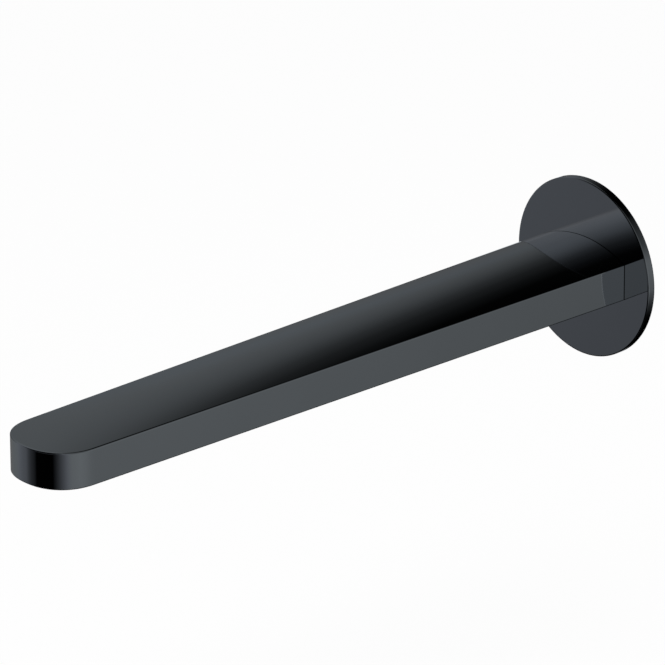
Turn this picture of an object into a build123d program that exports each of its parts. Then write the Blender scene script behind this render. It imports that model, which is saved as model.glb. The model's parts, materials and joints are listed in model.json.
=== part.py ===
from build123d import *
import math
import os

# Slim wall-mounted bath spout, in millimetres
# The wall plane is Y = 0, the spout reaches towards -Y, +Z is up
# The origin is the centre of the flange's back face

# Outside form
reach = 250.0
flange_diameter = 63.0
flange_thickness = 3.0
flange_edge_chamfer = 0.2
body_wall_width = 40.0
body_tip_width = 32.0
tip_flat_width = 3.0
body_side_height = 12.7
crown_at_wall = 5.0
crown_at_tip = 0.2
body_edge_chamfer = 0.3
seam_chamfer = 0.3

# Walls of the casting round the water way
side_wall = 3.4
bottom_wall = 2.6
top_wall = 2.8
roof_wall = 1.8
pocket_web = 2.4
way_corner_radius = 1.5

# Inlet: the nipple's axis lies above the flange's centre, in the middle of the body's section
inlet_height = 2.5
socket_diameter = 12.6
socket_depth = 20.0
spigot_clearance = 0.1
spigot_end_gap = 0.5
spigot_chamfer = 0.4
nipple_bore_diameter = 8.4
hex_key_size = 7.0
hex_length = 6.0
inlet_bore_diameter = 12.0
inlet_bore_depth = 12.0
thread_diameter = 20.955
thread_length = 13.0
thread_chamfer = 1.0
shoulder_setback = 3.0

# Seals on the spigot: a squeezed ring is flat where it bears and bulges at its sides
o_ring_squeezed_width = 1.6
o_ring_flat_width = 0.7
o_ring_clearance = 0.02
o_ring_groove_depth = 1.1
o_ring_groove_width = 1.9
front_ring_setback = 2.2
ring_spacing = 4.2

# Set screw in the underside
grub_diameter = 4.0
grub_length = 3.0
grub_setback = 5.0
grub_hex_size = 2.0
grub_hex_depth = 1.4
grub_groove_depth = 0.6
grub_groove_width = 4.4
thread_clearance = 0.05

# Flange, its screws and its gasket
flange_hole_diameter = 14.8
screw_diameter = 3.0
screw_length = 10.0
screw_head_diameter = 6.0
screw_spacing = 26.0
screw_height = 1.0
screw_sink = 0.1
screw_hex_size = 2.0
screw_hex_depth = 1.2
screw_hole_spare = 1.5
screw_hole_clearance = 0.2
countersink_clearance = 0.05
gasket_outer_diameter = 56.0
gasket_width = 5.0
gasket_thickness = 1.0
gasket_clearance = 0.1

# Aerator in the underside of the tip
outlet_setback = 15.0
aerator_diameter = 24.0
aerator_recess = 0.8
housing_wall = 1.5
lip_width = 0.9
lip_height = 1.0
notch_count = 8
notch_width = 2.0
notch_depth = 0.6
insert_clearance = 0.05
grille_thickness = 1.2
grille_cell = 1.9
grille_rib = 0.5
mesh_thickness = 0.3
mesh_hole = 1.6
mesh_wire = 0.55
spacer_thickness = 1.3
spacer_width = 1.2
diffuser_thickness = 1.0
diffuser_hole_diameter = 1.1
inner_jet_count = 5
inner_jet_radius = 3.2
outer_jet_count = 10
outer_jet_radius = 7.0
filter_thickness = 0.7
screen_rim = 0.8
washer_thickness = 1.0
washer_overhang = 0.7
washer_clearance = 0.15

# Places worked out from the sizes above
tip_corner_radius = (body_tip_width - tip_flat_width) / 2
rear_y = -flange_thickness
side_top = body_side_height / 2
side_bottom = -body_side_height / 2
outlet_y = outlet_setback - reach
socket_radius = socket_diameter / 2
socket_end_y = rear_y - socket_depth
spigot_radius = socket_radius - spigot_clearance
spigot_end_y = socket_end_y + spigot_end_gap
grub_y = rear_y - grub_setback
o_ring_floor_radius = spigot_radius - o_ring_groove_depth
grub_floor_radius = spigot_radius - grub_groove_depth
front_ring_y = spigot_end_y + front_ring_setback
rear_ring_y = front_ring_y + ring_spacing
screw_radius = screw_diameter / 2
screw_head_radius = screw_head_diameter / 2
screw_head_height = screw_head_radius - screw_radius
screw_places = [(side * screw_spacing / 2, screw_height) for side in (-1, 1)]
gasket_outer_radius = gasket_outer_diameter / 2
gasket_inner_radius = gasket_outer_radius - gasket_width

# The aerator's stack, from the underside up
housing_radius = aerator_diameter / 2
pocket_radius = housing_radius + thread_clearance
housing_inner_radius = housing_radius - housing_wall
insert_radius = housing_inner_radius - insert_clearance
housing_z = side_bottom + aerator_recess
grille_z = housing_z + lip_height
lower_mesh_z = grille_z + grille_thickness
spacer_z = lower_mesh_z + mesh_thickness
upper_mesh_z = spacer_z + spacer_thickness
diffuser_z = upper_mesh_z + mesh_thickness
filter_z = diffuser_z + diffuser_thickness
housing_top_z = filter_z + filter_thickness
pocket_top_z = housing_top_z + washer_thickness
chamber_radius = insert_radius - washer_overhang
chamber_top_z = side_top - roof_wall
way_front_y = outlet_y + pocket_radius + pocket_web

inlet_axis = Axis((0, 0, inlet_height), (0, 1, 0))
outlet_axis = Axis((0, outlet_y, 0), (0, 0, 1))
overrun = 2.0
arc_spread = 1.1


def from_wall_to_tip(y, at_wall, at_tip):
    """A size that changes evenly from the body's rear face to the end of its tip."""
    share = (rear_y - y) / (reach - flange_thickness)
    return at_wall + (at_tip - at_wall) * share


def half_width_at(y):
    """Half the body's width: seen from above, each side is a straight line."""
    return from_wall_to_tip(y, body_wall_width, body_tip_width) / 2


def crown_at(y):
    """Height of the crowned top over the side's upper edge: it fades towards the tip."""
    return from_wall_to_tip(y, crown_at_wall, crown_at_tip)


def tapered_plan(rear_half_width, start_y, front_half_width, end_y):
    """A flat outline, seen from above, that narrows towards the tip."""
    return make_face(Polyline(
        (-rear_half_width, start_y),
        (rear_half_width, start_y),
        (front_half_width, end_y),
        (-front_half_width, end_y),
        close=True,
    ))


def upright(face, low, high):
    """A prism of a flat outline between two heights."""
    return extrude(Pos(0, 0, low) * face, amount=high - low, dir=(0, 0, 1))


def arched_section(y, inset, low, top_inset, spread):
    """Cross-section with a flat bottom, upright sides and an arc on top, spread past its edges."""
    half = half_width_at(y) - inset
    crown = crown_at(y)
    radius = (half * half + crown * crown) / (2 * crown)
    centre = side_top - top_inset + crown - radius
    angle = spread * math.asin(half / radius)
    edge_x = radius * math.sin(angle)
    edge_z = centre + radius * math.cos(angle)
    return make_face([
        Line((-edge_x, y, low), (edge_x, y, low)),
        Line((edge_x, y, low), (edge_x, y, edge_z)),
        ThreePointArc((edge_x, y, edge_z), (0, y, centre + radius), (-edge_x, y, edge_z)),
        Line((-edge_x, y, edge_z), (-edge_x, y, low)),
    ])


def along_y(radius, start_y, end_y, x=0.0, z=0.0):
    """A round bar along the Y axis."""
    middle = (start_y + end_y) / 2
    return Pos(x, middle, z) * Rot(90, 0, 0) * Cylinder(radius, abs(end_y - start_y))


def along_z(radius, low, high, x=0.0, y=0.0):
    """A round bar along the Z axis."""
    return Pos(x, y, (low + high) / 2) * Cylinder(radius, high - low)


def turned_on_inlet(profile):
    """A piece turned on the inlet's axis from (y, radius) points."""
    points = [(radius, y, inlet_height) for y, radius in profile]
    return revolve(make_face(Polyline(*points, close=True)), inlet_axis)


def turned_on_outlet(profile):
    """A piece turned on the outlet's axis from (radius, z) points."""
    points = [(radius, outlet_y, z) for radius, z in profile]
    return revolve(make_face(Polyline(*points, close=True)), outlet_axis)


def disc_at_outlet(face, low, thickness):
    """A flat disc with its pattern, laid on the outlet's axis."""
    return Pos(0, outlet_y, 0) * upright(face, low, low + thickness)


def spout_form():
    """The body's outside: a crowned bar, cut to the plan with the round tip, its lower edges eased."""
    low = side_bottom - overrun
    high = side_top + crown_at_wall + overrun
    bar = loft([arched_section(y, 0, low, 0, arc_spread) for y in (rear_y, -reach)], ruled=True)
    plan = tapered_plan(body_wall_width / 2, rear_y, body_tip_width / 2, -reach)
    plan = fillet(plan.vertices().sort_by(Axis.Y)[:2], tip_corner_radius)
    form = bar & upright(plan, side_bottom, high)
    lower_edges = form.faces().sort_by(Axis.Z)[0].edges().sort_by(Axis.Y)[:-1]
    form = chamfer(lower_edges, body_edge_chamfer)
    return chamfer(form.faces().sort_by(Axis.Y)[-1].edges(), seam_chamfer)


def water_way():
    """The cored channel from the socket to the outlet, and the low throat over the aerator."""
    low = side_bottom + bottom_wall
    sections = []
    for y in (socket_end_y, way_front_y):
        section = arched_section(y, side_wall, low, top_wall, 1)
        sections.append(fillet(section.vertices(), way_corner_radius))
    throat_y = way_front_y + overrun
    throat_half_width = half_width_at(throat_y) - side_wall - way_corner_radius
    throat = tapered_plan(throat_half_width, throat_y, chamber_radius, outlet_y)
    throat += Pos(0, outlet_y) * Circle(chamber_radius)
    return loft(sections, ruled=True) + upright(throat, pocket_top_z, chamber_top_z)


def spout_body():
    """The casting: outside form, water way, rear socket, aerator pocket and tapped holes."""
    body = spout_form() - water_way()
    body -= along_y(socket_radius, rear_y + overrun, socket_end_y, z=inlet_height)
    body -= along_z(pocket_radius, side_bottom - overrun, pocket_top_z, y=outlet_y)
    body -= along_z(
        grub_diameter / 2 + thread_clearance, side_bottom - overrun, inlet_height, y=grub_y
    )
    hole_end = -screw_sink - screw_length - screw_hole_spare
    for x, z in screw_places:
        body -= along_y(screw_radius + thread_clearance, rear_y + overrun, hole_end, x, z)
    return body


def wall_flange():
    """Thin round plate with a hidden inlet hole, two countersinks and a gasket groove."""
    plate = along_y(flange_diameter / 2, rear_y, 0)
    plate = chamfer(plate.edges().filter_by(GeomType.CIRCLE), flange_edge_chamfer)
    plate -= along_y(flange_hole_diameter / 2, rear_y - overrun, overrun, z=inlet_height)
    groove = along_y(gasket_outer_radius + gasket_clearance, -gasket_thickness, overrun)
    groove -= along_y(gasket_inner_radius - gasket_clearance, -gasket_thickness, overrun)
    plate -= groove
    for x, z in screw_places:
        plate -= along_y(screw_radius + screw_hole_clearance, rear_y - overrun, overrun, x, z)
        plate -= countersunk_head(x, z, countersink_clearance)
        plate -= along_y(screw_head_radius + countersink_clearance, -screw_sink, overrun, x, z)
    return plate


def countersunk_head(x, z, clearance):
    """A right-angled cone from the head's rim down to the shank."""
    rim_radius = screw_head_radius + clearance
    profile = [(0, 0), (rim_radius, 0), (screw_radius + clearance, -screw_head_height)]
    profile.append((0, -screw_head_height))
    points = [(x + radius, y - screw_sink, z) for radius, y in profile]
    return revolve(make_face(Polyline(*points, close=True)), Axis((x, 0, z), (0, 1, 0)))


def hex_prism(size, depth):
    """A hexagon of a size across its flats, standing on the XY plane."""
    return extrude(RegularPolygon(size / 2, 6, major_radius=False), amount=depth)


def flange_screws():
    """Two countersunk screws with hexagon sockets, put in from behind the flange."""
    screws = []
    for x, z in screw_places:
        screw = countersunk_head(x, z, 0)
        screw += along_y(screw_radius, -screw_sink, -screw_sink - screw_length, x, z)
        socket = Pos(x, -screw_sink, z) * Rot(90, 0, 0) * hex_prism(screw_hex_size, screw_hex_depth)
        screws.append(screw - socket)
    return Compound(children=screws)


def flange_gasket():
    """Flat rubber ring, level with the flange's back face."""
    ring = along_y(gasket_outer_radius, -gasket_thickness, 0)
    return ring - along_y(gasket_inner_radius, -gasket_thickness - overrun, overrun)


def inlet_nipple():
    """Turned nipple: thread behind the wall plane, spigot with two seal grooves and a screw groove."""
    thread_radius = thread_diameter / 2
    thread_end_y = shoulder_setback + thread_length
    bore_radius = nipple_bore_diameter / 2
    inlet_radius = inlet_bore_diameter / 2
    inlet_floor_y = thread_end_y - inlet_bore_depth
    hex_front_y = inlet_floor_y - hex_length
    profile = [
        (spigot_end_y, bore_radius),
        (spigot_end_y, spigot_radius - spigot_chamfer),
        (spigot_end_y + spigot_chamfer, spigot_radius),
    ]
    for y, width, floor in (
        (front_ring_y, o_ring_groove_width, o_ring_floor_radius),
        (rear_ring_y, o_ring_groove_width, o_ring_floor_radius),
        (grub_y, grub_groove_width, grub_floor_radius),
    ):
        profile += [
            (y - width / 2, spigot_radius),
            (y - width / 2, floor),
            (y + width / 2, floor),
            (y + width / 2, spigot_radius),
        ]
    profile += [
        (shoulder_setback, spigot_radius),
        (shoulder_setback, thread_radius),
        (thread_end_y - thread_chamfer, thread_radius),
        (thread_end_y, thread_radius - thread_chamfer),
        (thread_end_y, inlet_radius),
        (inlet_floor_y, inlet_radius),
        (inlet_floor_y, 0),
        (hex_front_y, 0),
        (hex_front_y, bore_radius),
    ]
    nipple = turned_on_inlet(profile)
    key_hole = hex_prism(hex_key_size, hex_length + 2 * overrun)
    return nipple - Pos(0, inlet_floor_y + overrun, inlet_height) * Rot(90, 0, 0) * key_hole


def o_ring(y):
    """A rubber ring squeezed between its groove and the socket."""
    inner = o_ring_floor_radius + o_ring_clearance
    outer = socket_radius - o_ring_clearance
    flat = o_ring_flat_width / 2
    bulge = o_ring_squeezed_width / 2
    middle = (inner + outer) / 2
    return turned_on_inlet([
        (y - flat, inner),
        (y + flat, inner),
        (y + bulge, middle),
        (y + flat, outer),
        (y - flat, outer),
        (y - bulge, middle),
    ])


def grub_screw():
    """Set screw from below: its top bears on the nipple's groove, its hexagon socket faces down."""
    top = inlet_height - grub_floor_radius
    low = top - grub_length
    screw = along_z(grub_diameter / 2, low, top, y=grub_y)
    return screw - Pos(0, grub_y, low) * hex_prism(grub_hex_size, grub_hex_depth)


def aerator_housing():
    """Screwed-in ring with an inner lip below and a notched lower rim for its key."""
    lip_radius = housing_inner_radius - lip_width
    housing = turned_on_outlet([
        (lip_radius, housing_z),
        (housing_radius, housing_z),
        (housing_radius, housing_top_z),
        (housing_inner_radius, housing_top_z),
        (housing_inner_radius, grille_z),
        (lip_radius, grille_z),
    ])
    notch = Pos(housing_inner_radius, 0, housing_z) * Box(
        2 * (housing_wall + lip_width), notch_width, 2 * notch_depth
    )
    for index in range(notch_count):
        housing -= Pos(0, outlet_y, 0) * Rot(0, 0, index * 360 / notch_count) * notch
    return housing


def aerator_washer():
    """Flat rubber ring between the housing's rim and the pocket's shoulder."""
    washer = along_z(housing_radius - washer_clearance, housing_top_z, pocket_top_z, y=outlet_y)
    return washer - along_z(chamber_radius, housing_top_z - overrun, pocket_top_z + overrun, y=outlet_y)


def inside(places, limit):
    """The places whose distance from the middle is within a limit."""
    return [place for place in places if math.hypot(place.position.X, place.position.Y) <= limit]


def screen(thickness, low):
    """A woven screen: a square lattice of openings inside a plain rim."""
    pitch = mesh_hole + mesh_wire
    count = 2 * int(insert_radius / pitch) + 1
    limit = insert_radius - screen_rim - mesh_hole * math.sqrt(0.5)
    places = inside(GridLocations(pitch, pitch, count, count), limit)
    face = Circle(insert_radius) - [place * Rectangle(mesh_hole, mesh_hole) for place in places]
    return disc_at_outlet(face, low, thickness)


def aerator_grille():
    """A honeycomb of six-sided cells inside a plain rim."""
    pitch = grille_cell + grille_rib
    count = 2 * int(insert_radius / pitch) + 1
    cell_radius = grille_cell / math.sqrt(3)
    limit = insert_radius - screen_rim - cell_radius
    places = inside(HexLocations(pitch / 2, count, count, major_radius=False), limit)
    cell = RegularPolygon(cell_radius, 6, rotation=30)
    face = Circle(insert_radius) - [place * cell for place in places]
    return disc_at_outlet(face, grille_z, grille_thickness)


def aerator_diffuser():
    """A disc with two circles of jet holes."""
    face = Circle(insert_radius)
    jet = Circle(diffuser_hole_diameter / 2)
    face -= [place * jet for place in PolarLocations(inner_jet_radius, inner_jet_count)]
    face -= [place * jet for place in PolarLocations(outer_jet_radius, outer_jet_count)]
    return disc_at_outlet(face, diffuser_z, diffuser_thickness)


def aerator_spacer():
    """The ring that keeps the two screens apart."""
    face = Circle(insert_radius) - Circle(insert_radius - spacer_width)
    return disc_at_outlet(face, spacer_z, spacer_thickness)


pieces = {
    "spout_body": spout_body(),
    "wall_flange": wall_flange(),
    "flange_screws": flange_screws(),
    "flange_gasket": flange_gasket(),
    "inlet_nipple": inlet_nipple(),
    "front_o_ring": o_ring(front_ring_y),
    "rear_o_ring": o_ring(rear_ring_y),
    "grub_screw": grub_screw(),
    "aerator_housing": aerator_housing(),
    "aerator_washer": aerator_washer(),
    "aerator_filter": screen(filter_thickness, filter_z),
    "aerator_diffuser": aerator_diffuser(),
    "aerator_upper_mesh": screen(mesh_thickness, upper_mesh_z),
    "aerator_spacer": aerator_spacer(),
    "aerator_lower_mesh": screen(mesh_thickness, lower_mesh_z),
    "aerator_grille": aerator_grille(),
}

os.makedirs("parts", exist_ok=True)
for name, piece in pieces.items():
    export_step(piece, f"parts/{name}.step")
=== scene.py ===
"""Slim wall-mounted bath spout in a dark polished finish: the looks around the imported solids."""
import json
import math

import bmesh
import bpy
import numpy as np
from mathutils import Matrix, Vector


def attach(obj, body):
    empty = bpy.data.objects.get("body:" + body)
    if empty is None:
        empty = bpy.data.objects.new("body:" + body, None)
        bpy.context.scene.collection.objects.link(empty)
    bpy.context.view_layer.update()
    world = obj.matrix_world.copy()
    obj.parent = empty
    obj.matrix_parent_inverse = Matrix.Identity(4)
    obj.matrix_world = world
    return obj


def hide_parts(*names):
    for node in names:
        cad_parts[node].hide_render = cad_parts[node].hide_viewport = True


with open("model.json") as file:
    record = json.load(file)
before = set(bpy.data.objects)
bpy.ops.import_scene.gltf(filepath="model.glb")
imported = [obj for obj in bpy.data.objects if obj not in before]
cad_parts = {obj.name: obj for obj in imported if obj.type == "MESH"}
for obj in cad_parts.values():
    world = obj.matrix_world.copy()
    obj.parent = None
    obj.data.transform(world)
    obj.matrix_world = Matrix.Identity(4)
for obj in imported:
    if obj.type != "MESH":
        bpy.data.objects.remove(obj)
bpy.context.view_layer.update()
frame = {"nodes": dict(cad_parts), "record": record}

# The body, in metres: from the flange's front face at REAR_Y to the tip at Y = -REACH
REACH = 0.250
REAR_Y = -0.003
HALF_AT_WALL = 0.020
HALF_AT_TIP = 0.016
SIDE_TOP = 0.00635
SIDE_BOTTOM = -0.00635
CROWN_AT_WALL = 0.0050
CROWN_AT_TIP = 0.0002
TIP_DEPTH = 0.0155
TIP_POWER = 2.27
TOP_EDGE_AT_WALL = 0.0002
TOP_EDGE_AT_TIP = 0.0005
LOW_EDGE = 0.0004
SEAM_WIDTH = 0.00022
SEAM_DEPTH = 0.0005

# The body's holes
INLET_Z = 0.0025
SOCKET_RADIUS = 0.0063
SOCKET_END_Y = -0.023
OUTLET_Y = -0.235
OUTLET_RADIUS = 0.01205
OUTLET_TOP = 0.00125
CHAMBER_RADIUS = 0.00975
CHAMBER_TOP = 0.00455
GRUB_Y = -0.008
GRUB_RADIUS = 0.00205

# The flange, whose back is the wall plane Y = 0
FLANGE_RADIUS = 0.0315
BEVEL_WIDTH = 0.00036
BEVEL_DEPTH = 0.00015
GASKET_OUTER = 0.0281
GASKET_INNER = 0.0229
GASKET_DEPTH = 0.001
NIPPLE_HOLE_RADIUS = 0.0074
SCREW_X = 0.013
SCREW_Z = 0.001
SCREW_HOLE_RADIUS = 0.0017
SINK_RADIUS = 0.00305
SINK_RIM = 0.0001
SINK_DEPTH = 0.0015

# The inlet nipple, and the seals on its spigot
SPIGOT_START_Y = -0.0225
SPIGOT_RADIUS = 0.0062
SPIGOT_CHAMFER = 0.0004
BORE_RADIUS = 0.0042
BORE_CHAMFER = 0.0003
THREAD_START_Y = 0.003
THREAD_END_Y = 0.016
THREAD_RADIUS = 0.0104775
THREAD_PITCH = 0.001814
THREAD_DEPTH = 0.00116
THREAD_START_CHAMFER = 0.0016
THREAD_END_CHAMFER = 0.0010
SHOULDER_RADIUS = 0.0088
INLET_RADIUS = 0.0060
KEY_HALF = 0.0035
KEY_RIM_RADIUS = 0.0043
KEY_START_Y = -0.002
KEY_END_Y = 0.004
FRONT_SEAL_Y = -0.0203
REAR_SEAL_Y = -0.0161
SEAL_GROOVE_WIDTH = 0.0019
SEAL_GROOVE_FLOOR = 0.0051
GRUB_GROOVE_WIDTH = 0.0044
GRUB_GROOVE_FLOOR = 0.0056
GROOVE_EDGE = 0.0001
SEAL_RADIUS = 0.0057
SEAL_HALF_HEIGHT = 0.00058
SEAL_HALF_WIDTH = 0.0008

# Meshes: the angle in degrees from which an edge is crisp, and the steps round a turned piece
CREASE = 30.0
THREAD_CREASE = 35.0
SEGMENTS = 96
RIM_SEGMENTS = 360

# How far a cutter stands out of the body, and how far one through the flange reaches each way
SPARE = 0.002
THROUGH = 0.01


# Shapes

def add_mesh(name, points, faces, crease=CREASE):
    """A smooth-shaded mesh with edges sharper than the crease angle kept crisp; doubles are merged."""
    mesh = bpy.data.meshes.new(name)
    mesh.from_pydata(points.reshape(-1, 3).tolist(), [], faces.tolist())
    built = bmesh.new()
    built.from_mesh(mesh)
    bmesh.ops.remove_doubles(built, verts=built.verts, dist=1e-7)
    bmesh.ops.dissolve_degenerate(built, edges=built.edges, dist=1e-8)
    if built.calc_volume(signed=True) < 0:
        bmesh.ops.reverse_faces(built, faces=built.faces)
    built.to_mesh(mesh)
    built.free()
    mesh.shade_smooth()
    mesh.set_sharp_from_angle(angle=math.radians(crease))
    piece = bpy.data.objects.new(name, mesh)
    bpy.context.scene.collection.objects.link(piece)
    return piece


def grid_faces(rows, columns, end_to_end=False):
    """Quads between the neighbouring rows and columns of a grid whose rows are closed rings. If asked, the
    last row is joined to the first too."""
    i = np.arange(rows if end_to_end else rows - 1)
    j = np.arange(columns)
    i, j = np.meshgrid(i, j, indexing="ij")
    next_i, next_j = (i + 1) % rows, (j + 1) % columns
    corners = (i * columns + j, i * columns + next_j, next_i * columns + next_j, next_i * columns + j)
    return np.stack(corners, axis=-1).reshape(-1, 4)


def arc(steps, radius):
    """Quarter circle from lying flat to standing up: run sin(a) and rise 1 - cos(a) times the radius."""
    turn = np.linspace(0, math.pi / 2, steps)
    return radius * np.sin(turn), radius * (1 - np.cos(turn))


def turned(name, profile, centre, axis, segments=SEGMENTS):
    """A turned piece: (radius, height) points swept round an axis, radius*cos and radius*sin across it."""
    profile = np.asarray(profile, float)
    turn = np.linspace(0, 2 * math.pi, segments, endpoint=False)
    across = profile[:, :1] * np.cos(turn), profile[:, :1] * np.sin(turn)
    along = np.broadcast_to(profile[:, 1:], across[0].shape)
    order = (across[0], along, across[1]) if axis == "Y" else (across[0], across[1], along)
    points = np.stack(order, axis=-1) + np.asarray(centre)
    return add_mesh(name, points, grid_faces(len(profile), segments))


def cut(piece, *cutters):
    """Takes the cutters' volume out of a piece, and puts the result in its mesh."""
    for cutter in cutters:
        change = piece.modifiers.new("cut", "BOOLEAN")
        change.operation = "DIFFERENCE"
        change.solver = "EXACT"
        change.object = cutter
    bpy.context.view_layer.update()
    shaped = piece.evaluated_get(bpy.context.evaluated_depsgraph_get())
    mesh = bpy.data.meshes.new_from_object(shaped)
    mesh.set_sharp_from_angle(angle=math.radians(CREASE))
    piece.modifiers.clear()
    piece.data = mesh
    for cutter in cutters:
        bpy.data.objects.remove(cutter)
    return piece


def rod(start, end, radius, across, axis="Y"):
    """A plain cutter: a closed cylinder between two heights on an axis, at a place across it."""
    profile = [(0, start), (radius, start), (radius, end), (0, end)]
    centre = (across[0], 0, across[1]) if axis == "Y" else (across[0], across[1], 0)
    return turned("cutter", profile, centre, axis)


def along_body(at_wall, at_tip, y):
    """A measure at a distance from the wall, where it changes evenly from wall to tip."""
    return at_wall + (at_tip - at_wall) * (REAR_Y - y) / (REACH + REAR_Y)


def half_width(y):
    """Half the body's width at a distance from the wall."""
    return along_body(HALF_AT_WALL, HALF_AT_TIP, y)


def top_height(x, y):
    """Height of the crowned top: a circle's arc over the width, whose rise fades towards the tip."""
    half = half_width(y)
    rise = along_body(CROWN_AT_WALL, CROWN_AT_TIP, y)
    radius = (half ** 2 + rise ** 2) / (2 * rise)
    return SIDE_TOP + rise - radius + np.sqrt(radius ** 2 - np.minimum(np.abs(x), half) ** 2)


def plan_outline():
    """The body seen from above, as a closed loop: x = half_width(y) along the sides, and at the tip
    x = half_width(y) * (1 - u^p)^(1/p), where u is the share of the tip's depth. Returns the points and
    their inward normals, which are zero along the rear."""
    side_points, tip_points, rear_points = 110, 90, 41
    tip_y = -REACH + TIP_DEPTH
    sides_y = np.linspace(REAR_Y, tip_y, side_points)
    turn = np.linspace(0, math.pi / 2, tip_points)[1:]
    y = np.concatenate([sides_y, tip_y - TIP_DEPTH * np.sin(turn) ** (2 / TIP_POWER)])
    share = np.concatenate([np.ones(side_points), np.clip(np.cos(turn), 0, 1) ** (2 / TIP_POWER)])
    x = half_width(y) * share
    x[-1] = 0
    right = np.stack([x, y], axis=1)
    run = np.gradient(right, axis=0)
    run[-1] = (-1, 0)
    run /= np.linalg.norm(run, axis=1, keepdims=True)
    inward_right = np.stack([run[:, 1], -run[:, 0]], axis=1)
    rear_x = np.linspace(-HALF_AT_WALL, HALF_AT_WALL, rear_points)[1:-1]
    rear = np.stack([rear_x, np.full(len(rear_x), REAR_Y)], axis=1)
    to_left = (-1, 1)
    loop = np.concatenate([right, right[-2::-1] * to_left, rear])
    inward = np.concatenate([inward_right, inward_right[-2::-1] * to_left, np.zeros(rear.shape)])
    return loop, inward


def spout_skin():
    """The body's skin as rings round the plan: a flat bottom, upright sides and the crowned top, joined by
    quarter circles of the edge radii; each cap shrinks to a line along the middle of the plan."""
    edge_steps = 9
    bottom_shares = (0.0, 0.35, 0.7, 0.97, 0.999)
    side_shares = (0.01, 0.25, 0.5, 0.75, 0.99)
    top_shares = np.concatenate([[0.999, 0.99], np.linspace(0.965, 0, 30)])
    line_setback = 0.016

    loop, inward = plan_outline()
    line_y = np.clip(loop[:, 1], -REACH + line_setback, REAR_Y - line_setback)
    line = np.stack([np.zeros(len(loop)), line_y], axis=1)
    rings = []

    def ring(place, height):
        rings.append(np.column_stack([place, np.broadcast_to(height, len(loop))]))

    inner = loop + inward * LOW_EDGE
    for share in bottom_shares:
        ring(line + (inner - line) * share, SIDE_BOTTOM)
    for run, rise in zip(*arc(edge_steps, LOW_EDGE)):
        ring(loop + inward * (LOW_EDGE - run), SIDE_BOTTOM + rise)
    low = SIDE_BOTTOM + LOW_EDGE
    edge = along_body(TOP_EDGE_AT_WALL, TOP_EDGE_AT_TIP, loop[:, 1])
    high = top_height(loop[:, 0], loop[:, 1]) - edge
    for share in side_shares:
        ring(loop, low + (high - low) * share)
    for run, rise in zip(*arc(edge_steps, 1.0)):
        place = loop + inward * (rise * edge)[:, None]
        ring(place, top_height(place[:, 0], place[:, 1]) - edge * (1 - run))
    inner = loop + inward * edge[:, None]
    for share in top_shares:
        place = line + (inner - line) * share
        ring(place, top_height(place[:, 0], place[:, 1]))
    return np.stack(rings), grid_faces(len(rings), len(loop))


def section_prism(inset, start, end):
    """A prism along the inlet's axis with the body's section at the wall, inset all round: flat bottom,
    upright sides, and the crown's arc lowered by the inset."""
    arch_points = 61
    half = HALF_AT_WALL - inset
    across = np.linspace(half, -half, arch_points)
    arch = np.stack([across, top_height(across, REAR_Y) - inset], axis=1)
    foot = [(-half, SIDE_BOTTOM + inset), (half, SIDE_BOTTOM + inset)]
    outline = np.concatenate([arch, foot])
    middle = np.zeros(outline.shape)
    rows = [(middle, start), (outline, start), (outline, end), (middle, end)]
    rings = [np.column_stack([flat[:, 0], np.full(len(flat), y), flat[:, 1]]) for flat, y in rows]
    return add_mesh("cutter", np.stack(rings), grid_faces(len(rings), len(outline)))


def seam_frame():
    """What the shadow groove between body and flange takes away: a thin frame round the body's rear end."""
    behind = 0.0005
    slab = section_prism(-SPARE, REAR_Y - SEAM_WIDTH, REAR_Y + behind)
    return cut(slab, section_prism(SEAM_DEPTH, REAR_Y - SPARE, REAR_Y + SPARE))


def spout_body():
    """The body's skin with the groove at its rear and its holes: the nipple's socket, the outlet's pocket
    with the chamber above it, and the set screw's hole, which ends in the socket."""
    skin = add_mesh("spout_body_skin", *spout_skin())
    outlet = (0, OUTLET_Y)
    return cut(
        skin,
        seam_frame(),
        rod(REAR_Y + SPARE, SOCKET_END_Y, SOCKET_RADIUS, (0, INLET_Z)),
        rod(SIDE_BOTTOM - SPARE, OUTLET_TOP, OUTLET_RADIUS, outlet, "Z"),
        rod(0.0, CHAMBER_TOP, CHAMBER_RADIUS, outlet, "Z"),
        rod(SIDE_BOTTOM - SPARE, 0.0, GRUB_RADIUS, (0, GRUB_Y), "Z"),
    )


def thread_radius(y, turn):
    """A rounded thread: the radius falls by half the depth times 1 - cos of the place along the pitch."""
    return THREAD_RADIUS - THREAD_DEPTH * (0.5 - 0.5 * np.cos(2 * math.pi * y / THREAD_PITCH - turn))


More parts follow.
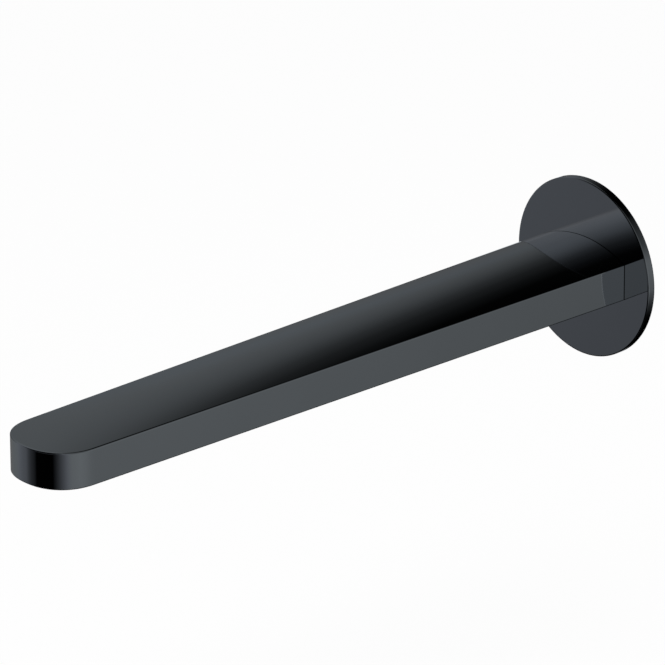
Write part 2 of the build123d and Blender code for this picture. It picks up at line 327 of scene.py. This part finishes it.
def nipple_surface():
    """The inlet nipple as one closed grid: rows run along its outline, columns round its axis. The radius
    depends on both at the thread and at the six-sided key hole, where it is half the key's size over the
    cosine of the angle from the nearest flat's middle."""
    columns, thread_rows = 144, 110
    turn = np.linspace(0, 2 * math.pi, columns, endpoint=False)
    flat = np.ones_like(turn)
    sixth = math.pi / 3
    hexagon = KEY_HALF / np.cos((turn + sixth / 2) % sixth - sixth / 2)
    grooves = (
        (FRONT_SEAL_Y, SEAL_GROOVE_WIDTH, SEAL_GROOVE_FLOOR),
        (REAR_SEAL_Y, SEAL_GROOVE_WIDTH, SEAL_GROOVE_FLOOR),
        (GRUB_Y, GRUB_GROOVE_WIDTH, GRUB_GROOVE_FLOOR),
    )
    start_slope = 1.2
    rows = []

    def ring(y, radius):
        rows.append((y * flat, radius * flat))

    ring(SPIGOT_START_Y, BORE_RADIUS + BORE_CHAMFER)
    ring(SPIGOT_START_Y, SPIGOT_RADIUS - SPIGOT_CHAMFER)
    ring(SPIGOT_START_Y + SPIGOT_CHAMFER, SPIGOT_RADIUS)
    for y, width, floor_radius in grooves:
        ring(y - width / 2 - GROOVE_EDGE, SPIGOT_RADIUS)
        ring(y - width / 2, SPIGOT_RADIUS - GROOVE_EDGE)
        ring(y - width / 2, floor_radius)
        ring(y + width / 2, floor_radius)
        ring(y + width / 2, SPIGOT_RADIUS - GROOVE_EDGE)
        ring(y + width / 2 + GROOVE_EDGE, SPIGOT_RADIUS)
    ring(THREAD_START_Y, SPIGOT_RADIUS)
    ring(THREAD_START_Y, SHOULDER_RADIUS)
    for y in np.linspace(THREAD_START_Y, THREAD_END_Y, thread_rows):
        at_end = THREAD_RADIUS - THREAD_END_CHAMFER + (THREAD_END_Y - y)
        at_start = THREAD_RADIUS - THREAD_START_CHAMFER + (y - THREAD_START_Y) * start_slope
        ring(y, np.minimum(thread_radius(y, turn), min(at_end, at_start)))
    ring(THREAD_END_Y, INLET_RADIUS + BORE_CHAMFER)
    ring(THREAD_END_Y - BORE_CHAMFER, INLET_RADIUS)
    ring(KEY_END_Y, INLET_RADIUS)
    ring(KEY_END_Y, KEY_RIM_RADIUS)
    ring(KEY_END_Y, hexagon)
    ring(KEY_START_Y, hexagon)
    ring(KEY_START_Y, BORE_RADIUS)
    ring(SPIGOT_START_Y + BORE_CHAMFER, BORE_RADIUS)
    y, radius = (np.stack(values) for values in zip(*rows))
    points = np.stack([radius * np.cos(turn), y, INLET_Z + radius * np.sin(turn)], axis=-1)
    return points, grid_faces(len(rows), columns, end_to_end=True)


def seal_ring(name, y):
    """A squeezed rubber ring: an oval section, half its height times cos and half its width times sin, swept
    round the inlet's axis."""
    section_points = 40
    turn = np.linspace(0, 2 * math.pi, section_points, endpoint=False)
    radius = SEAL_RADIUS + SEAL_HALF_HEIGHT * np.cos(turn)
    section = np.stack([radius, y + SEAL_HALF_WIDTH * np.sin(turn)], axis=1)
    section = np.concatenate([section, section[:1]])
    return turned(name, section, (0, 0, INLET_Z), "Y")


def flange_plate():
    """The thin round plate, turned: flat faces, a shallow bevel on the front face's edge and one on the back
    of the rim, and the gasket's groove behind. Points close to a bevel's ends keep its shading off the
    flats."""
    shares = (0.92, 0.5, 0.04)
    face_margin, rim_margin = 0.00004, 0.00002
    front_flat, rim_start = 0.015, 0.0006
    profile = [(0, REAR_Y), (front_flat, REAR_Y)]
    profile += [(FLANGE_RADIUS - BEVEL_WIDTH - face_margin, REAR_Y), (FLANGE_RADIUS - BEVEL_WIDTH, REAR_Y)]
    profile += [(FLANGE_RADIUS - BEVEL_WIDTH * share, REAR_Y + BEVEL_DEPTH * (1 - share)) for share in shares]
    profile += [(FLANGE_RADIUS, REAR_Y + BEVEL_DEPTH + rim_margin), (FLANGE_RADIUS, REAR_Y + rim_start)]
    profile += [(FLANGE_RADIUS, -BEVEL_WIDTH - face_margin), (FLANGE_RADIUS, -BEVEL_WIDTH)]
    profile += [(FLANGE_RADIUS - BEVEL_DEPTH * (1 - share), -BEVEL_WIDTH * share) for share in shares]
    profile += [(FLANGE_RADIUS - BEVEL_DEPTH - rim_margin, 0), (GASKET_OUTER, 0)]
    profile += [(GASKET_OUTER, -GASKET_DEPTH), (GASKET_INNER, -GASKET_DEPTH), (GASKET_INNER, 0), (0, 0)]
    plate = turned("wall_flange_plate", profile, (0, 0, 0), "Y", RIM_SEGMENTS)

    sink_end = -SINK_RIM - SINK_DEPTH
    sink = [(0, THROUGH), (SINK_RADIUS, THROUGH), (SINK_RADIUS, -SINK_RIM)]
    sink += [(SINK_RADIUS - SINK_DEPTH, sink_end), (0, sink_end)]
    cutters = [rod(-THROUGH, THROUGH, NIPPLE_HOLE_RADIUS, (0, INLET_Z))]
    for x in (-SCREW_X, SCREW_X):
        cutters.append(rod(-THROUGH, THROUGH, SCREW_HOLE_RADIUS, (x, SCREW_Z)))
        cutters.append(turned("cutter", sink, (x, 0, SCREW_Z), "Y"))
    return cut(plate, *cutters)


# Materials

def put(tree, slot, value):
    """Links a worked-out value to a socket, or sets a fixed one on it."""
    if isinstance(value, Value):
        tree.links.new(value.socket, slot)
    else:
        slot.default_value = value


class Value:
    """A number, vector, colour or shader that nodes work out, with the arithmetic that the script uses."""

    def __init__(self, tree, socket):
        self.tree = tree
        self.socket = socket

    def math(self, operation, *others):
        node = self.tree.nodes.new("ShaderNodeMath")
        node.operation = operation
        for slot, value in zip(node.inputs, (self, *others)):
            put(self.tree, slot, value)
        return Value(self.tree, node.outputs[0])

    def __add__(self, other):
        return self.math("ADD", other)

    __radd__ = __add__

    def __mul__(self, other):
        return self.math("MULTIPLY", other)

    __rmul__ = __mul__

    def __sub__(self, other):
        return self.math("SUBTRACT", other)

    def __rsub__(self, other):
        return (self * -1.0) + other

    def __pow__(self, other):
        return self.math("POWER", other)


class Finish:
    """A material under construction: the shader's fixed values, and what varies over the surface."""

    def __init__(self, name, fixed):
        self.material = bpy.data.materials.new(name)
        self.material.use_nodes = True
        self.tree = self.material.node_tree
        self.shader = self.tree.nodes["Principled BSDF"]
        for label, value in fixed.items():
            self.feed(label, value)
        self.place = self.node("ShaderNodeTexCoord", output="Object")

    def feed(self, label, value):
        put(self.tree, self.shader.inputs[label], value)

    def node(self, kind, settings=None, sockets=None, output=0):
        """Any node: its settings first, then the values or links of its sockets, by name or number."""
        node = self.tree.nodes.new(kind)
        for label, value in (settings or {}).items():
            setattr(node, label, value)
        for label, value in (sockets or {}).items():
            put(self.tree, node.inputs[label], value)
        return Value(self.tree, node.outputs[output])

    def stretched(self, x, y, z):
        """The place on the piece with each direction scaled, for patterns longer one way than another."""
        return self.node("ShaderNodeMapping", sockets={"Vector": self.place, "Scale": (x, y, z)})

    def noise(self, scale, detail, place=None):
        sockets = {"Vector": place or self.place, "Scale": scale, "Detail": detail}
        return self.node("ShaderNodeTexNoise", sockets=sockets)

    def between(self, low, high, amount):
        """A colour between two, fixed or worked out, by an amount from 0 to 1."""
        low, high = (colour if isinstance(colour, Value) else (*colour, 1.0) for colour in (low, high))
        return self.node("ShaderNodeMix", {"data_type": "RGBA"}, {0: amount, 6: low, 7: high}, output=2)

    def bump(self, height, distance, strength):
        sockets = {"Height": height, "Distance": distance, "Strength": strength}
        self.feed("Normal", self.node("ShaderNodeBump", sockets=sockets))


def dark_polished_metal():
    """Dark blue-grey vapour-deposited coat on polished brass: a clean mirror with a trace of haze."""
    finish = Finish("dark_polished_metal", {"Metallic": 1.0, "Specular Tint": (0.5, 0.5, 0.5, 1.0)})
    cloud = finish.noise(scale=38.0, detail=3.0)
    haze = finish.noise(scale=900.0, detail=2.0)
    finish.feed("Base Color", finish.between((0.0755, 0.084, 0.0905), (0.080, 0.089, 0.096), cloud))
    finish.feed("Roughness", 0.03 + 0.02 * cloud + 0.012 * haze)
    finish.bump(finish.noise(scale=260.0, detail=1.0), distance=0.0000004, strength=0.4)
    return finish.material


def turned_brass():
    """Bare turned brass: fine tool rings along the axis and faint tarnish."""
    finish = Finish("bare_brass", {"Metallic": 1.0})
    rings = finish.noise(scale=1.0, detail=2.0, place=finish.stretched(60.0, 9000.0, 60.0))
    tarnish = finish.noise(scale=240.0, detail=5.0)
    finish.feed("Base Color", finish.between((0.74, 0.56, 0.26), (0.52, 0.36, 0.15), tarnish ** 2.0))
    finish.feed("Roughness", 0.2 + 0.14 * rings + 0.1 * tarnish)
    finish.bump(rings, distance=0.00001, strength=0.35)
    return finish.material


def stainless():
    """Plain stainless steel with a fine drawn grain."""
    finish = Finish("stainless_steel", {"Metallic": 1.0})
    grain = finish.noise(scale=1.0, detail=3.0, place=finish.stretched(5200.0, 400.0, 5200.0))
    finish.feed("Base Color", finish.between((0.60, 0.60, 0.58), (0.70, 0.70, 0.69), grain))
    finish.feed("Roughness", 0.22 + 0.16 * grain)
    finish.bump(grain, distance=0.000005, strength=0.3)
    return finish.material


def moulded_rubber():
    """Black sealing rubber: dull, with a fine moulded grain and a trace of bloom."""
    finish = Finish("black_rubber", {"IOR": 1.5})
    grain = finish.noise(scale=2600.0, detail=3.0)
    bloom = finish.noise(scale=170.0, detail=4.0)
    finish.feed("Base Color", finish.between((0.018, 0.018, 0.018), (0.042, 0.042, 0.041), bloom))
    finish.feed("Roughness", 0.6 + 0.25 * grain)
    finish.bump(grain, distance=0.00002, strength=0.5)
    return finish.material


def moulded_plastic(name, dark, light, roughness):
    """Moulded plastic: nearly even colour, a soft sheen that varies, and a very fine grain."""
    finish = Finish(name, {"IOR": 1.49})
    cloud = finish.noise(scale=150.0, detail=3.0)
    grain = finish.noise(scale=3200.0, detail=2.0)
    finish.feed("Base Color", finish.between(dark, light, cloud))
    finish.feed("Roughness", roughness + 0.12 * grain)
    finish.bump(grain, distance=0.000008, strength=0.4)
    return finish.material


finishes = {
    "dark_polished_metal": dark_polished_metal(),
    "bare_brass": turned_brass(),
    "stainless_steel": stainless(),
    "black_rubber": moulded_rubber(),
    "black_plastic": moulded_plastic("black_plastic", (0.030, 0.030, 0.033), (0.044, 0.045, 0.048), 0.26),
    "white_plastic": moulded_plastic("white_plastic", (0.72, 0.72, 0.70), (0.80, 0.80, 0.78), 0.3),
    "grey_plastic": moulded_plastic("grey_plastic", (0.26, 0.26, 0.27), (0.31, 0.31, 0.32), 0.3),
}


# Pieces

def dress(piece, slot, *nodes):
    """Gives a new piece its finish, and lets it stand for the solids that it replaces."""
    piece.data.materials.clear()
    piece.data.materials.append(finishes[slot])
    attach(piece, "root")
    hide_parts(*nodes)


dress(spout_body(), "dark_polished_metal", "spout_body")
dress(flange_plate(), "dark_polished_metal", "wall_flange")
nipple = add_mesh("inlet_nipple_turned", *nipple_surface(), crease=THREAD_CREASE)
dress(nipple, "bare_brass", "inlet_nipple")
dress(seal_ring("front_seal_ring", FRONT_SEAL_Y), "black_rubber", "front_o_ring")
dress(seal_ring("rear_seal_ring", REAR_SEAL_Y), "black_rubber", "rear_o_ring")

replaced = {"spout_body", "wall_flange", "inlet_nipple", "front_o_ring", "rear_o_ring"}
slots = {part["node"]: part["material_slot"] for part in frame["record"]["subparts"]}
for node, solid in frame["nodes"].items():
    if node not in replaced:
        solid.data.materials.clear()
        solid.data.materials.append(finishes[slots[node]])


# Studio
# Its levels and hues are fitted to what the photograph's metal reflects, so they suit that view first

def around(*pairs):
    """Stops in degrees from -180 to 180, as a ramp's parts of a whole turn."""
    return [(degrees / 360.0 + 0.5, level) for degrees, level in pairs]


def apart(*pairs):
    """Stops in degrees from 0 up, as a ramp's parts of a whole turn."""
    return [(degrees / 360.0, level) for degrees, level in pairs]


class Sky(Finish):
    """The world's nodes, made with the same calls as a finish.

    Bearing runs from -180 to 180 degrees round the object, 0 towards the room and 90 towards +X. Side angle
    runs from -90 at +X over 0 at the wall and the room to 90 at -X. Rise runs from -90 to 90. All three are
    kept as parts of a whole turn, plus a half. Away is how far the bearing is from the room's side. Seen is
    1 for the camera's own rays. Again is 1 for a ray that the metal has reflected at least twice, for which
    bearing and side angle are shifted a little."""

    def __init__(self):
        world = bpy.data.worlds.new("studio")
        bpy.context.scene.world = world
        world.use_nodes = True
        self.tree = world.node_tree
        self.shader = self.tree.nodes["Background"]
        direction = self.node("ShaderNodeTexCoord", output="Generated")
        split = self.node("ShaderNodeSeparateXYZ", sockets={"Vector": direction}).socket.node
        across, inward, height = (Value(self.tree, socket) for socket in split.outputs)
        self.seen = self.node("ShaderNodeLightPath", output="Is Camera Ray")
        glossy = self.node("ShaderNodeLightPath", output="Is Glossy Ray")
        depth = self.node("ShaderNodeLightPath", output="Ray Depth")
        least_depth = 2.5
        self.again = glossy * depth.math("GREATER_THAN", least_depth)
        bearing_shift, side_shift = 5.5 / 360.0, 6.0 / 360.0
        part_of_turn = 0.5 / math.pi
        bearing = across.math("ARCTAN2", inward * -1.0) * part_of_turn
        self.bearing = bearing + 0.5 + self.again * bearing_shift
        side_angle = (across * -1.0).math("ARCTAN2", inward.math("ABSOLUTE")) * part_of_turn
        self.side_angle = side_angle + 0.5 + self.again * side_shift
        self.rise = height.math("ARCSINE") * part_of_turn + 0.5
        self.away = (self.bearing - 0.5).math("ABSOLUTE")
        facing = [(0.6, 0.0), (0.75, 1.0)]
        self.from_room = self.ramp(inward * -0.5 + 0.5, facing)
        self.from_wall = self.ramp(inward * 0.5 + 0.5, facing)

    def ramp(self, amount, stops, smooth="EASE"):
        """A level that follows an amount through (amount, level) stops."""
        node = self.tree.nodes.new("ShaderNodeValToRGB")
        node.color_ramp.interpolation = smooth
        while len(node.color_ramp.elements) < len(stops):
            node.color_ramp.elements.new(0.5)
        for element, (position, level) in zip(node.color_ramp.elements, stops):
            element.position = position
        for element, (position, level) in zip(node.color_ramp.elements, stops):
            element.color = (level, level, level, 1.0)
        put(self.tree, node.inputs[0], amount)
        return Value(self.tree, node.outputs[0])


def low_light(sky):
    """The ring of light and dark walls round the object, level with it and below. Its upper part is dimmer
    on both sides."""
    ring = sky.ramp(sky.bearing, around(
        (-158, 0.03), (-144, 0.4), (-134, 0.9), (-127, 0.85), (-118, 0.25), (-100, 0.95), (-90, 1.45),
        (-76, 1.46), (-65, 1.28), (-57, 1.04), (-52, 0.89), (-48, 0.78), (-42, 0.42), (-36, 0.23),
        (-29, 0.13), (-22, 0.006), (22, 0.004), (30, 0.11), (38, 0.27), (46, 0.49), (54, 0.72), (61, 0.97),
        (68, 1.17), (75, 1.3), (97, 1.42), (111, 1.32), (122, 1.17), (128.4, 1.12), (133, 0.83), (144, 0.5),
        (158, 0.1)), "LINEAR")
    fade = sky.ramp(sky.rise, around(
        (-90, 0.8), (-75, 0.6), (-60, 0.1), (-48, 0.02), (-42, 0.12), (-35, 0.35), (-28, 0.7), (-24, 0.88),
        (-21.5, 1.07)), "LINEAR")
    beside = sky.ramp(sky.away, apart((60, 0.0), (75, 0.4), (105, 0.4), (120, 0.0)))
    beside = beside * sky.ramp(sky.rise, around((-20, 0.0), (-17, 1.0)))
    return ring * fade * (1.0 - beside)


def high_light(sky):
    """A large soft panel on each side above the object, and an even patch straight overhead."""
    left = sky.ramp(sky.side_angle, around(
        (0, 0.0), (25, 0.01), (32, 0.05), (38, 0.132), (42, 0.27), (44.5, 0.44), (48, 0.75), (52, 1.08),
        (55, 1.18), (60, 1.1), (90, 1.05)), "LINEAR")
    left = left * sky.ramp(sky.rise, around(
        (-20, 0.0), (-10, 0.2), (-2, 0.404), (5, 0.665), (10, 0.866), (15, 0.98), (20, 1.0)), "LINEAR")
    right = sky.ramp(sky.side_angle, around(
        (-90, 1.2), (-50, 1.15), (-45, 0.7), (-36, 0.42), (-21, 0.05), (0, 0.0)), "LINEAR")
    right = right * sky.ramp(sky.rise, around((8, 1.0), (23, 0.55), (60, 0.5)), "LINEAR")
    overhead = sky.ramp(sky.rise, around((82, 0.0), (88, 1.0)))
    overhead_level = 0.6
    return (left + right) * (1.0 - overhead) + overhead_level * overhead


def high_share(sky):
    """Where the light from above takes over: from about level up, and lower down in a dark strip of wall
    beside the left panel."""
    strip = sky.ramp(sky.bearing, around((-134.6, 0.0), (-133.2, 1.0), (-106, 1.0), (-102, 0.0)), "LINEAR")
    strip = strip * sky.ramp(sky.rise, around((-15.5, 0.0), (-12, 1.0)))
    return strip.math("MAXIMUM", sky.ramp(sky.rise, around((-6, 0.0), (2, 1.0))))


def mirror_gain(sky):
    """Makes the metal that is seen in the metal about as clear as it is seen directly."""
    strength = 8.8
    far_side = sky.ramp(sky.bearing, around((-10, 1.0), (10, 0.0)))
    far_rise = around((-22, 0.95), (-17, 0.87), (-8.5, 0.58), (-2, 0.02))
    far_side = far_side * sky.ramp(sky.rise, far_rise, "LINEAR")
    from_side = sky.ramp(sky.bearing, around((75, 0.0), (85, 1.6), (135, 1.6), (145, 0.0)))
    from_side = from_side * sky.ramp(sky.rise, around((-6, 1.0), (2, 0.0)))
    return 1.0 + sky.again * sky.from_room.math("MAXIMUM", from_side) * (1.0 - far_side) * strength


def other_panels(sky):
    """Two soft panels, on the wall's side and towards the room, for views from the front, from below and from
    behind, in which the metal would be black without them."""
    wall = sky.ramp(sky.away, apart((145, 0.0), (151, 0.55)))
    wall = wall * sky.ramp(sky.rise, around(
        (-39, 0.0), (-34, 1.0), (-28, 1.0), (-25, 0.0), (-19, 0.0), (-16, 1.0), (28, 1.0), (36, 0.0)))
    room = sky.ramp(sky.away, apart((20, 0.32), (27, 0.0)))
    room = room * sky.ramp(sky.rise, around((-20.5, 0.0), (-17.5, 1.0), (-9, 1.0), (-6, 0.0)))
    return (wall + room) * (1.0 - sky.again)


def light_tint(sky):
    """Faint hues: the light is cooler from the room and low on the left when the metal has reflected it
    once, and redder when it has reflected it twice."""
    white = (1.0, 1.0, 1.0)
    room_hue, left_hue = (1.01, 1.0, 1.07), (0.96, 1.02, 1.08)
    far_low_hue, far_high_hue, near_hue = (1.085, 1.045, 1.08), (1.0, 0.92, 0.92), (1.14, 1.05, 1.02)
    direct = (1.0 - sky.seen) * (1.0 - sky.again)
    left = sky.ramp(sky.side_angle, around((20, 0.0), (40, 1.0)))
    left = left * sky.ramp(sky.rise, around((8, 1.0), (22, 0.0))) * sky.from_wall
    once = sky.between(white, room_hue, sky.from_room * direct)
    once = sky.between(once, left_hue, left * direct)
    twice = sky.between(far_low_hue, far_high_hue, sky.ramp(sky.rise, around((0, 0.0), (20, 1.0))))
    twice = sky.between(twice, near_hue, sky.ramp(sky.bearing, around((-10, 0.0), (10, 1.0))))
    twice = sky.between(white, twice, sky.again)
    return sky.node("ShaderNodeVectorMath", {"operation": "MULTIPLY"}, {0: once, 1: twice})


def light_world():
    """Plain white for the camera's own rays, and the studio for all others."""
    sky = Sky()
    share = high_share(sky)
    studio = low_light(sky) * (1.0 - share) + high_light(sky) * share
    studio = studio * mirror_gain(sky) + other_panels(sky)
    sky.feed("Color", light_tint(sky))
    sky.feed("Strength", sky.seen + studio * (1.0 - sky.seen))


def pale_floor():
    """A pale floor that shows the camera mostly an even white, keeps the object's shadow, and is clear from
    below, so that the underside can be looked at."""
    half, height = 6.0, -0.13
    white_share = 0.94
    corners = [(-half, -half, height), (half, -half, height), (half, half, height), (-half, half, height)]
    mesh = bpy.data.meshes.new("floor")
    mesh.from_pydata(corners, [], [(0, 1, 2, 3)])
    floor = bpy.data.objects.new("floor", mesh)
    bpy.context.scene.collection.objects.link(floor)
    floor.visible_glossy = False

    paper = Finish("floor_paper", {"Roughness": 0.9, "Base Color": (0.9, 0.9, 0.9, 1.0)})
    dull = Value(paper.tree, paper.shader.outputs[0])
    white = paper.node("ShaderNodeEmission", sockets={"Strength": 1.0})
    seen = paper.node("ShaderNodeLightPath", output="Is Camera Ray")
    top = paper.node("ShaderNodeMixShader", sockets={0: seen * white_share, 1: dull, 2: white})
    below = paper.node("ShaderNodeNewGeometry", output="Backfacing")
    clear = paper.node("ShaderNodeBsdfTransparent")
    one_sided = paper.node("ShaderNodeMixShader", sockets={0: below, 1: top, 2: clear})
    put(paper.tree, paper.tree.nodes["Material Output"].inputs["Surface"], one_sided)
    mesh.materials.append(paper.material)


def overhead_softbox():
    """A large round softbox above the object, which lights the floor and the dull pieces."""
    lamp = bpy.data.lights.new("overhead_softbox", "AREA")
    lamp.shape = "DISK"
    lamp.size = 0.9
    lamp.energy = 9.0
    softbox = bpy.data.objects.new("overhead_softbox", lamp)
    softbox.location = (0.15, -0.25, 1.1)
    softbox.visible_glossy = False
    bpy.context.scene.collection.objects.link(softbox)


def place_camera():
    """The photograph's viewpoint: angles in degrees, distance and aim in flange radii, and the focal length
    in the photograph's pixels."""
    azimuth, elevation, roll = (math.radians(angle) for angle in (47.688, 22.464, -0.187))
    distance, aim_y, aim_right, aim_up = 71.4, -4, 0.1907, 0.3073
    focal_pixels, photo_pixels, sensor = 6859.0, 665.0, 36.0
    flat = math.cos(elevation)
    back = Vector((math.sin(azimuth) * flat, -math.cos(azimuth) * flat, math.sin(elevation)))
    level_right = Vector((math.cos(azimuth), math.sin(azimuth), 0))
    level_up = back.cross(level_right)
    right = math.cos(roll) * level_right + math.sin(roll) * level_up
    up = math.cos(roll) * level_up - math.sin(roll) * level_right
    target = Vector((0, aim_y, 0)) + level_right * aim_right + level_up * aim_up
    lens = bpy.data.cameras.new("camera")
    lens.sensor_width = sensor
    lens.lens = focal_pixels * sensor / photo_pixels
    lens.clip_start = 0.1
    lens.clip_end = 60.0
    camera = bpy.data.objects.new("camera", lens)
    place = Matrix.Translation((target + back * distance) * FLANGE_RADIUS)
    camera.matrix_world = place @ Matrix((right, up, back)).transposed().to_4x4()
    bpy.context.scene.collection.objects.link(camera)
    bpy.context.scene.camera = camera


light_world()
pale_floor()
overhead_softbox()
place_camera()
bpy.context.scene.view_settings.view_transform = "Standard"
